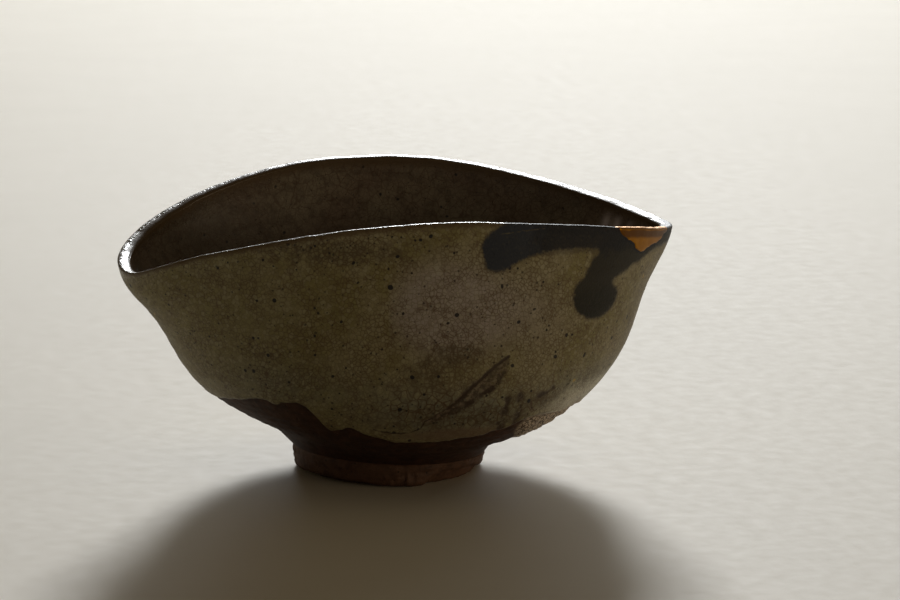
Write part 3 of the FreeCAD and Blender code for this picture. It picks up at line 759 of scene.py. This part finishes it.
# ---- materials ----
class Finish:
    """One procedural material, built a node at a time. Sizes are in millimetres."""

    def __init__(self, name, **constants):
        self.material = bpy.data.materials.new(name)
        self.material.use_nodes = True
        self.tree = self.material.node_tree
        self.shader = self.tree.nodes["Principled BSDF"]
        self.spot = self.add("TexCoord").outputs["Object"]
        self.colour = None
        self.heights = []
        for socket, value in constants.items():
            self.shader.inputs[socket.replace("_", " ")].default_value = value

    def add(self, kind, *values, **settings):
        """New shader node with its settings, and the values on its first inputs."""
        node = self.tree.nodes.new("ShaderNode" + kind)
        for key, value in settings.items():
            setattr(node, key, value)
        for socket, value in zip(node.inputs, values):
            self.feed(socket, value)
        return node

    def feed(self, socket, value):
        if isinstance(value, bpy.types.NodeSocket):
            self.tree.links.new(value, socket)
        elif socket.type == "RGBA":
            socket.default_value = (*value, 1)
        else:
            socket.default_value = value

    def mark(self, name):
        """A mesh attribute, in millimetres or as a share."""
        return self.add("Attribute", attribute_name=name).outputs["Fac"]

    def math(self, operation, values):
        """Joins numbers or outputs from left to right by one operation."""
        total = values[0]
        for value in values[1:]:
            total = self.add("Math", total, value, operation=operation).outputs[0]
        return total

    def plus(self, *values):
        return self.math("ADD", values)

    def times(self, *values):
        return self.math("MULTIPLY", values)

    def most(self, *values):
        return self.math("MAXIMUM", values)

    def least(self, *values):
        return self.math("MINIMUM", values)

    def sway(self, field, amount):
        """A field between 0 and 1 turned into one between minus and plus half the amount."""
        return self.times(self.plus(field, -0.5), amount)

    def frayed(self, name, field, amount):
        """A mark with an edge that a field between 0 and 1 makes ragged."""
        return self.plus(self.mark(name), self.sway(field, amount))

    def step(self, value, low, high, start=0.0, end=1.0):
        """Smooth step from start to end as the value goes from low to high."""
        return self.add("MapRange", value, low, high, start, end, interpolation_type="SMOOTHSTEP").outputs[0]

    def moved(self, seed):
        """The place on the surface, in a part of the pattern that belongs to the seed."""
        return self.add("Mapping", self.spot, (0.37 * seed, 0.61 * seed, 0.23 * seed)).outputs[0]

    def noise(self, size, seed, detail=3.0, roughness=0.55):
        """Random field between 0 and 1 with lumps of about the given size."""
        node = self.add("TexNoise", self.moved(seed))
        node.inputs["Scale"].default_value = 1 / (size * MM)
        node.inputs["Detail"].default_value = detail
        node.inputs["Roughness"].default_value = roughness
        return node.outputs["Fac"]

    def cells(self, size, seed, warp=0.0, feature="F1"):
        """Distance to the nearest cell centre, in cell sizes."""
        place = self.moved(seed)
        if warp:
            shake = self.add("TexNoise", place)
            shake.inputs["Scale"].default_value = 0.7 / (size * MM)
            reach = (warp * size * MM,) * 3
            place = self.vector("MULTIPLY_ADD", shake.outputs["Color"], reach, place)
        node = self.add("TexVoronoi", place, feature=feature)
        node.inputs["Scale"].default_value = 1 / (size * MM)
        return node.outputs["Distance"]

    def cracks(self, size, seed, warp):
        """Distance to the nearest edge between cells, in cell sizes."""
        return self.cells(size, seed, warp, "DISTANCE_TO_EDGE")

    def lot(self, size, seed, warp):
        """A random number for every cell of the same size, seed and warp."""
        cell = self.cells(size, seed, warp).node
        return self.add("SeparateXYZ", cell.outputs["Color"]).outputs[0]

    def mix(self, share, a, b):
        node = self.add("Mix", share, data_type="RGBA")
        self.feed(node.inputs[6], a)
        self.feed(node.inputs[7], b)
        return node.outputs[2]

    def tint(self, colour, *shares):
        """Lays another colour over what is there, as strongly as the product of the shares."""
        self.colour = self.mix(self.times(*shares), self.colour, colour)

    def vector(self, operation, *values, scale=None):
        node = self.add("VectorMath", *values, operation=operation)
        if scale is not None:
            self.feed(node.inputs["Scale"], scale)
        return node.outputs["Value" if operation in ("DOT_PRODUCT", "DISTANCE") else "Vector"]

    def front_view(self, shake):
        """(x, 0, z) in millimetres from the foot's axis, a little shaken. Far away on the back half."""
        place = self.vector("SUBTRACT", self.vector("SCALE", self.spot, scale=1 / MM), tuple(AXIS))
        apart = self.add("SeparateXYZ", place).outputs
        x = self.plus(apart["X"], self.sway(self.noise(1.7, 71, 2.0), 2 * shake))
        z = self.plus(apart["Z"], self.sway(self.noise(1.7, 72, 2.0), 2 * shake))
        return self.add("CombineXYZ", x, self.step(apart["Y"], -8, 8, 0, 500), z).outputs[0]

    def spots(self, view, *places):
        """1 inside round (x, z, radius) spots of the front view."""
        gaps = [self.math("SUBTRACT", (self.vector("DISTANCE", view, (x, 0, z)), radius))
                for x, z, radius in places]
        return self.step(self.least(*gaps), 0.1, -0.25)

    def line(self, view, points, width):
        """1 along a line through (x, z) points of the front view."""
        gaps = []
        for (ax, az), (bx, bz) in zip(points, points[1:]):
            dx, dz = bx - ax, bz - az
            length = dx * dx + dz * dz
            start = self.vector("SUBTRACT", view, (ax, 0, az))
            share = self.vector("DOT_PRODUCT", start, (dx / length, 0, dz / length))
            share = self.most(self.least(share, 1.0), 0.0)
            reach = self.add("CombineXYZ", dx, 0, dz).outputs[0]
            gaps.append(self.vector("DISTANCE", start, self.vector("SCALE", reach, scale=share)))
        return self.step(self.least(*gaps), width * 1.5, width * 0.4)

    def relief(self, height, millimetres):
        """Adds a bump whose whole range is the given height."""
        self.heights.append(self.times(height, millimetres * MM))

    def pits(self, size, seed, edge, bottom, millimetres):
        """Adds pinholes between an edge and a bottom radius, in cell sizes."""
        self.relief(self.step(self.cells(size, seed), edge, bottom, 0, -1), millimetres)

    def crawled(self, mottle, share, gaps):
        """Glaze that drew back into beads, with the colour of the gaps between them."""
        patch = self.step(self.frayed("crawl", mottle, 2.0), -1.2, 0.4)
        self.tint(CRAWL_PINK, patch, share)
        self.tint(gaps, patch, self.step(self.cracks(1.1, 12, 0.5), 0.15, 0.03))

    def mended(self, mottle, share):
        """The dark line round the gold."""
        self.tint(IRON_BLACK, self.step(self.frayed("chip", mottle, 0.8), -0.8, -0.2, 0, share))

    def finish(self, roughness):
        self.feed(self.shader.inputs["Base Color"], self.colour)
        self.feed(self.shader.inputs["Roughness"], roughness)
        if self.heights:
            bump = self.add("Bump")
            bump.inputs["Strength"].default_value = 1.0
            bump.inputs["Distance"].default_value = 1.0
            self.feed(bump.inputs["Height"], self.plus(*self.heights))
            self.feed(self.shader.inputs["Normal"], bump.outputs[0])
        return self.material


# Colours of the outer glaze, the iron on it and the scar.
PALE_CELL = (0.285, 0.248, 0.134)
PALE_GRAIN = (0.42, 0.37, 0.22)
PALE_LOT = (0.40, 0.37, 0.25)
CREAM = (0.58, 0.55, 0.44)
OLIVE = (0.214, 0.182, 0.068)
MAUVE = (0.350, 0.302, 0.268)
UMBER = (0.105, 0.066, 0.030)
SMOKE_STAIN_AND_SHADE = (0.085, 0.062, 0.032)
# Dark brown of the stains, also laid low on the front as painted shade.
CELADON = (0.232, 0.236, 0.176)
THIN_GLAZE = (0.16, 0.105, 0.065)
RUST_LINE = (0.080, 0.042, 0.020)
DEEP_BROWN = (0.045, 0.027, 0.016)
YELLOW_OCHRE = (0.42, 0.30, 0.10)
CRAWL_PINK = (0.56, 0.45, 0.33)
SCAR_BROWN = (0.044, 0.029, 0.020)
BUBBLE = (0.215, 0.160, 0.112)
IRON_BLACK = (0.0050, 0.0055, 0.0095)
IRON_OLIVE = (0.0200, 0.0170, 0.0100)
IRON_POOL = (0.0100, 0.0090, 0.0040)
IRON_BLOT = (0.0220, 0.0265, 0.0380)
IRON_BROWN = (0.046, 0.031, 0.019)
# Colours of the inner glaze.
INNER_BROWN = (0.172, 0.130, 0.096)
INNER_ASH = (0.262, 0.236, 0.170)
POOL_OLIVE = (0.20, 0.19, 0.105)
# Pale colour of the painted reflection beside the right tip.
PAINTED_REFLECTION_PALE = (0.66, 0.60, 0.64)
# Colours of the clay, the mend and the floor.
CLAY = (0.064, 0.027, 0.0135)
CLAY_DARK = (0.030, 0.0125, 0.007)
# Lighter clay for the foot ring, as painted light.
CLAY_PAINTED_LIGHT = (0.115, 0.058, 0.034)
CLAY_GRAIN = (0.12, 0.062, 0.036)
SAND = (0.19, 0.125, 0.085)
GRIT_BLACK = (0.010, 0.008, 0.007)
GOLD = (0.37, 0.152, 0.003)
GOLD_WORN = (0.25, 0.092, 0.002)
GOLD_DUST = (0.46, 0.205, 0.005)
# Darker gold, painted shade below the lip.
GOLD_PAINTED_SHADE = (0.125, 0.046, 0.003)
LACQUER = (0.10, 0.04, 0.02)
PUTTY = (0.06, 0.03, 0.02)
PUTTY_PALE = (0.11, 0.06, 0.04)
FLOOR = (0.76, 0.70, 0.585)
FLOOR_PALE = (0.81, 0.75, 0.635)

# Dark lines and spots in the outer glaze, as (x, z) on the front.
SCAR_LINE = ((20.8, 39.3), (17.2, 37.2), (13.8, 34.0), (10.6, 31.2), (7.9, 28.4), (5.2, 26.2))
SCAR_LOW = ((17.6, 31.8), (13.7, 29.3), (11.4, 27.8), (7.2, 25.5), (3.4, 24.5))
DIP_LINE = ((4.5, 26), (-0.3, 22.9), (-1.6, 20.8), (-4.1, 19.6), (-8.6, 19.5), (-13, 20.6))
STREAKS = (((21.2, 27.6), (20.8, 23.8), (20.6, 18.4)), ((24.8, 28.4), (24.7, 24.0), (24.4, 18.6)),
           ((30.6, 27.3), (34.0, 29.0)))
DRIPS = ((20.3, 19.0, 1.0), (19.5, 20.6, 0.6))
DRY_BRUSH_GAP = ((18.6, 71.2), (30.5, 71.6))
PINHOLE = (0.4, 26.3)
PINHOLE_RADIUS, PINHOLE_STAIN = 0.35, 1.3


def outer_glaze_finish():
    """Matt ash glaze over dark clay: crazed, clouded and speckled, with painted iron."""
    f = Finish("ash_glaze_outside", IOR=1.48, Specular_IOR_Level=0.2)
    cloud = f.noise(14, 1, 3.0, 0.55)
    mottle = f.noise(2.4, 2, 4.0, 0.62)
    grain = f.noise(0.5, 3, 3.0, 0.6)
    front = f.front_view(0.45)

    # The ground colour, by place and by the glaze's drift.
    f.colour = f.mix(f.step(cloud, 0.36, 0.62), OLIVE, PALE_CELL)
    f.tint(OLIVE, f.mark("olive"), 0.9)
    f.tint(MAUVE, f.step(f.mark("mauve"), 0.1, 0.75, 0, 0.85))
    f.tint(CELADON, f.mark("celadon"), f.step(mottle, 0.3, 0.6, 0.5, 1))
    f.tint(UMBER, f.step(mottle, 0.42, 0.66, 0, 0.25))
    f.tint(PALE_GRAIN, f.step(grain, 0.5, 0.75, 0, 0.35))

    x, y, z = f.add("SeparateXYZ", front).outputs
    side = f.plus(x, f.sway(mottle, 9))
    low = f.plus(z, f.sway(mottle, 5))
    shore = f.step(f.plus(x, f.times(z, -0.6)), 14, 28)
    f.tint(CREAM, shore, f.step(low, 30, 24), f.step(low, 17.5, 20), f.step(y, 100, 0), 0.9)

    # Crazing, stained red-brown, in cells of about a millimetre and wider ones near the scar.
    stain = f.step(f.noise(6.5, 4, 3.0, 0.6), 0.34, 0.60)
    open_craze = f.least(f.mark("wide"), 1.0)
    wide = f.cracks(2.2, 5, 0.9)
    close = f.cracks(1.05, 6, 0.45)
    lot = f.lot(1.05, 6, 0.45)
    closed = f.plus(1.0, f.times(open_craze, -0.7))
    f.tint(PALE_LOT, f.step(lot, 0.55, 1.0, 0, 0.28), closed)
    f.tint(UMBER, f.step(lot, 0.4, 0.0, 0, 0.24), closed)
    stain_and_shade = f.step(f.frayed("umber", mottle, 1.6), 0.2, 1.1)
    wide_lines = f.times(f.step(wide, f.plus(f.times(open_craze, 0.05), 0.06), 0.01),
                         f.plus(f.times(open_craze, 0.8), 0.2))
    close_lines = f.times(f.step(close, f.plus(f.times(stain_and_shade, 0.09), 0.085), 0.015),
                          f.plus(0.78, f.times(open_craze, -0.62)))
    lines = f.most(wide_lines, close_lines)
    f.tint(UMBER, f.step(close, 0.30, 0.04), stain, 0.34)
    f.tint(RUST_LINE, lines, f.plus(f.times(stain, 0.3), f.times(open_craze, 0.15), 0.5))
    clouds = f.times(f.step(f.noise(5.5, 7, 4.0, 0.65), 0.52, 0.74), f.step(mottle, 0.35, 0.6))
    f.tint(UMBER, clouds, 0.28)
    # Darker mottling where the umber mark lies: stain, and low on the front partly painted shade.
    f.tint(SMOKE_STAIN_AND_SHADE, stain_and_shade, f.step(f.noise(1.1, 49, 3.0, 0.6), 0.62, 0.38, 0.25, 0.75))

    # Iron that bled up from the clay in specks, and a few ochre ones.
    spread = f.sway(f.noise(3.5, 21, 2.0), 0.45)
    tiny = f.plus(f.cells(1.7, 9, 0.3), spread)
    middling = f.plus(f.cells(2.9, 8, 0.4), spread)
    large = f.plus(f.cells(6.4, 10, 0.5), f.times(spread, 0.12))
    specks = f.most(f.step(middling, 0.11, 0.07), f.step(tiny, 0.17, 0.09, 0, 0.75),
                    f.step(large, 0.10, 0.075))
    f.tint(IRON_BLACK, specks, 0.92)
    f.tint(YELLOW_OCHRE, f.step(f.cells(15, 45, 0.3), 0.042, 0.030))

    # Thin glaze: a brown line round the lip, along the lower edge and under the second dip.
    f.tint(UMBER, f.step(f.frayed("lip", mottle, 1.6), 1.0, 0.1, 0, 0.85))
    f.tint(THIN_GLAZE, f.step(f.mark("thin"), 0.3, 0.9, 0, 0.7))
    f.tint(DEEP_BROWN, f.step(f.frayed("edge", mottle, 1.8), 1.1, 0.0, 0, 0.95))
    f.crawled(mottle, 0.8, DEEP_BROWN)

    # The scar: a pressed dark line, and below it torn glaze with pale bubbles.
    torn = f.step(f.frayed("scar", mottle, 2.4), -0.6, 0.5)
    patches = f.step(f.noise(1.6, 20, 3.0, 0.6), 0.36, 0.6)
    f.tint(SCAR_BROWN, torn, f.plus(f.times(patches, 0.45), 0.35))
    bubbles = f.times(torn, f.step(f.cracks(0.95, 13, 0.4), 0.2, 0.07))
    f.tint(BUBBLE, bubbles, f.step(patches, 0.9, 0.2, 0.1, 0.6))
    broken = f.step(mottle, 0.36, 0.56)
    streaks = [f.times(f.line(front, streak, 0.9), broken) for streak in STREAKS]
    marks = f.most(f.line(front, SCAR_LINE, 0.5), f.times(f.line(front, SCAR_LOW, 0.7), broken),
                   f.times(f.line(front, DIP_LINE, 0.22), f.step(mottle, 0.3, 0.5)), *streaks,
                   f.spots(front, *DRIPS))
    f.tint(DEEP_BROWN, marks, 0.88)
    f.tint(RUST_LINE, f.spots(front, (*PINHOLE, PINHOLE_STAIN)), 0.5, f.step(mottle, 0.3, 0.6))
    f.tint(DEEP_BROWN, f.spots(front, (*PINHOLE, PINHOLE_RADIUS)))

    # Painted iron: bluish black where it pooled, olive or brown where it is thin.
    iron = f.frayed("iron", f.noise(1.3, 14, 4.0, 0.65), 1.9)
    thinned = f.times(f.step(side, 29, 35), f.step(side, 52, 45), f.step(low, 70.5, 66.5),
                      f.step(low, 61, 63.5))
    f.tint(IRON_BROWN, f.step(f.plus(iron, f.times(thinned, 0.8)), -1.1, 0.2, 0, 0.55))
    dry = f.plus(f.times(f.step(f.noise(1.9, 15, 4.0, 0.7), 0.52, 0.72), 0.15), f.times(thinned, 0.10))
    paint = f.mix(f.step(low, 65, 61), IRON_BLACK, IRON_OLIVE)
    paint = f.mix(f.step(low, 56, 51), paint, IRON_POOL)
    paint = f.mix(f.step(side, 32, 24), paint, IRON_BLOT)
    paint = f.mix(dry, paint, IRON_BROWN)
    paint = f.mix(f.times(f.step(close, 0.25, 0.45), 0.06), paint, OLIVE)
    gap = f.times(f.line(front, DRY_BRUSH_GAP, 0.16), f.step(f.noise(1.2, 17), 0.36, 0.5))
    inked = f.times(f.step(iron, -0.45, 0.5), f.plus(1.0, f.times(gap, -0.6)),
                    f.plus(1.0, f.times(dry, -0.22)))
    f.tint(paint, inked, 0.96)
    f.mended(mottle, 0.92)

    f.relief(f.noise(1.0, 18, 3.0, 0.6), 0.07)
    f.relief(f.times(f.noise(2.2, 48, 2.0), f.step(f.mark("lip"), 1.5, 0.2)), 0.3)
    f.pits(2.1, 16, 0.14, 0.05, 0.09)
    f.relief(lines, -0.04)
    f.relief(inked, 0.03)
    f.relief(marks, -0.10)
    f.relief(f.times(torn, f.noise(0.7, 19, 2.0)), 0.14)
    matt = f.plus(f.times(grain, 0.2), f.step(f.mark("lip"), 0.5, 4.0, 0.12, 0.34))
    return f.finish(f.most(matt, f.times(torn, 0.6), f.times(inked, f.plus(f.times(dry, 0.2), 0.5))))


def inner_glaze_finish():
    """The same glaze inside: browner, crazed, olive in the pool, painted shade at the left tip, painted
    reflection at the right.
    """
    f = Finish("ash_glaze_inside", IOR=1.48, Specular_IOR_Level=0.24)
    mottle = f.noise(3.0, 21, 4.0, 0.62)
    grain = f.noise(0.5, 22, 3.0, 0.6)
    f.colour = f.mix(f.step(f.noise(22, 23, 2.0), 0.38, 0.66, 0, 0.55), INNER_BROWN, INNER_ASH)
    f.tint(DEEP_BROWN, f.step(mottle, 0.4, 0.7, 0, 0.55))
    f.tint(PALE_CELL, f.step(grain, 0.5, 0.75, 0, 0.3))
    # Painted shade: the inner wall behind the left tip painted darker.
    f.tint(DEEP_BROWN, f.mark("painted_shade_inside"), 0.6)
    f.tint(POOL_OLIVE, f.step(f.frayed("pool", mottle, 0.6), 0.3, 1.0, 0, 0.8))
    lines = f.most(f.step(f.cracks(1.3, 24, 0.5), 0.08, 0.02, 0, 0.7),
                   f.step(f.cracks(3.1, 29, 0.5), 0.04, 0.012))
    f.tint(RUST_LINE, lines, 0.6)
    specks = f.most(f.step(f.cells(4.4, 25, 0.5), 0.12, 0.06),
                    f.step(f.cells(1.4, 26, 0.3), 0.16, 0.07, 0, 0.8))
    f.tint(IRON_BLACK, specks, 0.85)
    f.tint(UMBER, f.step(f.frayed("lip", mottle, 2.0), 1.6, 0.2, 0, 0.8))
    # Painted reflection: pale runs beside the right tip, where a window would glint on the inner glaze.
    f.tint(PAINTED_REFLECTION_PALE, f.mark("painted_reflection"), f.step(mottle, 0.3, 0.55, 0.45, 1))
    f.mended(mottle, 0.9)
    f.relief(f.noise(1.1, 27, 3.0, 0.6), 0.06)
    f.pits(2.3, 28, 0.14, 0.05, 0.09)
    return f.finish(f.plus(f.times(grain, 0.18), f.step(f.mark("lip"), 1, 8, 0.15, 0.36)))


def clay_finish():
    """Dark iron-bearing stoneware with grit and sand, and the foot ring painted lighter as painted light."""
    f = Finish("bare_stoneware", IOR=1.45, Specular_IOR_Level=0.3)
    mottle = f.noise(3.2, 31, 4.0, 0.65)
    grain = f.noise(0.4, 32, 3.0, 0.65)
    f.colour = f.mix(f.step(mottle, 0.35, 0.7), CLAY_DARK, CLAY)
    # Painted light: the foot ring, in shade under the body, is painted lighter than the other clay.
    f.tint(CLAY_PAINTED_LIGHT, f.mark("foot"), f.step(mottle, 0.3, 0.6, 0.4, 1))
    f.tint(CLAY_GRAIN, f.step(grain, 0.5, 0.75, 0, 0.35))
    f.tint(SAND, f.step(f.cells(1.5, 33, 0.4), 0.13, 0.06, 0, 0.6))
    f.tint(GRIT_BLACK, f.step(f.cells(2.2, 34), 0.13, 0.06, 0, 0.9))
    f.crawled(mottle, 0.85, CLAY_DARK)
    f.relief(f.noise(0.9, 35, 4.0, 0.7), 0.14)
    f.pits(1.9, 36, 0.2, 0.06, 0.18)
    return f.finish(f.plus(f.times(grain, 0.3), 0.5))


def gold_finish():
    """Gold dust over red-brown lacquer, rubbed thin at its edge, with a band of painted shade below the lip.
    """
    f = Finish("gold_on_lacquer", Metallic=1.0)
    wear = f.noise(3.2, 41, 3.0, 0.55)
    grain = f.noise(0.35, 42, 3.0, 0.65)
    f.colour = f.mix(f.step(wear, 0.42, 0.7, 0, 0.5), GOLD, GOLD_WORN)
    f.tint(GOLD_DUST, f.step(grain, 0.45, 0.7, 0, 0.35))
    # Painted shade: the gold just below the lip, facing away from the light, painted darker.
    below = f.frayed("lip", wear, 0.6)
    f.tint(GOLD_PAINTED_SHADE, f.step(below, 0.0, 0.4), f.step(below, 2.1, 1.3))
    f.tint(LACQUER, f.step(f.frayed("chip", wear, 1.2), 0.3, -0.25, 0, 0.9))
    f.relief(f.noise(1.0, 44, 2.0, 0.5), 0.03)
    return f.finish(f.plus(f.times(wear, 0.2), 0.3))


def putty_finish():
    f = Finish("lacquer_putty", IOR=1.5)
    f.colour = f.mix(f.noise(1.5, 51), PUTTY, PUTTY_PALE)
    f.relief(f.noise(0.7, 52), 0.1)
    return f.finish(f.plus(f.times(f.noise(1.0, 53), 0.2), 0.5))


def floor_finish():
    f = Finish("pale_floor", Specular_IOR_Level=0.2)
    f.colour = f.mix(f.noise(40, 61, 2.0), FLOOR, FLOOR_PALE)
    return f.finish(f.plus(f.times(f.noise(5, 62), 0.1), 0.6))


# ---- the bowl ----
def place_piece(piece, material, slot, *nodes):
    piece.data.materials.append(material)
    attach(piece, "root")
    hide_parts(*nodes)


glaze = outer_glaze_finish()
clay = clay_finish()
coat, long_stroke, hook_stroke, inner_coat = glaze_pieces()
place_piece(coat, glaze, "ash_glaze_outside", "glaze_outside")
place_piece(long_stroke, glaze, "iron_pigment", "iron_stroke_long")
place_piece(hook_stroke, glaze, "iron_pigment", "iron_stroke_hook")
place_piece(inner_coat, inner_glaze_finish(), "ash_glaze_inside", "glaze_inside")
place_piece(clay_body(), clay, "stoneware", "stoneware_wall")
place_piece(foot_piece(), clay, "stoneware", "foot_ring")
place_piece(gold_patch(), gold_finish(), "gold_lacquer", "kintsugi_gold")
place_piece(putty(), putty_finish(), "lacquer_putty", "kintsugi_filler")


# ---- the floor, the light and the camera ----
FLOOR_REACH = 6.0             # all lengths from here on are in metres
AIM = (0, 0, 0.04)
CAMERA_PLACE = (-0.2319, -1.1565, 0.277)
CAMERA_TILT, CAMERA_TURN = math.radians(78.88), math.radians(-12)
LENS_MM, SENSOR_MM = 182.8, 36.0


def floor():
    mesh = bpy.data.meshes.new("floor")
    corners = [(x * FLOOR_REACH, y * FLOOR_REACH, 0) for x, y in ((-1, -1), (1, -1), (1, 1), (-1, 1))]
    mesh.from_pydata(corners, [], [(0, 1, 2, 3)])
    piece = bpy.data.objects.new("floor", mesh)
    piece.data.materials.append(floor_finish())
    bpy.context.scene.collection.objects.link(piece)


def soft_light(name, place, width, height, watts, colour):
    """A rectangular light that looks at the bowl."""
    light = bpy.data.lights.new(name, "AREA")
    light.shape = "RECTANGLE"
    light.size, light.size_y = width, height
    light.energy = watts
    light.color = colour
    thing = bpy.data.objects.new(name, light)
    thing.location = place
    x, y, z = np.array(AIM) - np.array(thing.location)
    thing.rotation_euler = (math.atan2(math.hypot(x, y), -z), 0, math.atan2(-x, y))
    bpy.context.scene.collection.objects.link(thing)


def sky(colour, strength):
    world = bpy.data.worlds.new("studio")
    world.use_nodes = True
    background = world.node_tree.nodes["Background"]
    background.inputs["Color"].default_value = (*colour, 1)
    background.inputs["Strength"].default_value = strength
    bpy.context.scene.world = world


def camera():
    lens = bpy.data.cameras.new("camera")
    lens.lens, lens.sensor_width = LENS_MM, SENSOR_MM
    thing = bpy.data.objects.new("camera", lens)
    thing.location = CAMERA_PLACE
    thing.rotation_euler = (CAMERA_TILT, 0, CAMERA_TURN)
    bpy.context.scene.collection.objects.link(thing)
    bpy.context.scene.camera = thing


floor()
sky((1.0, 0.82, 0.56), 0.085)
soft_light("window", (0.95, 3.9, 1.85), 0.9, 0.7, 135, (0.97, 0.99, 1.0))
soft_light("far_panel", (1.6, 4.2, 1.15), 3.4, 1.7, 42, (0.94, 0.98, 1.0))
soft_light("room", (1.9, -1.2, 0.2), 1.4, 0.3, 6, (1.0, 0.80, 0.54))
camera()
bpy.context.scene.view_settings.view_transform = "Standard"
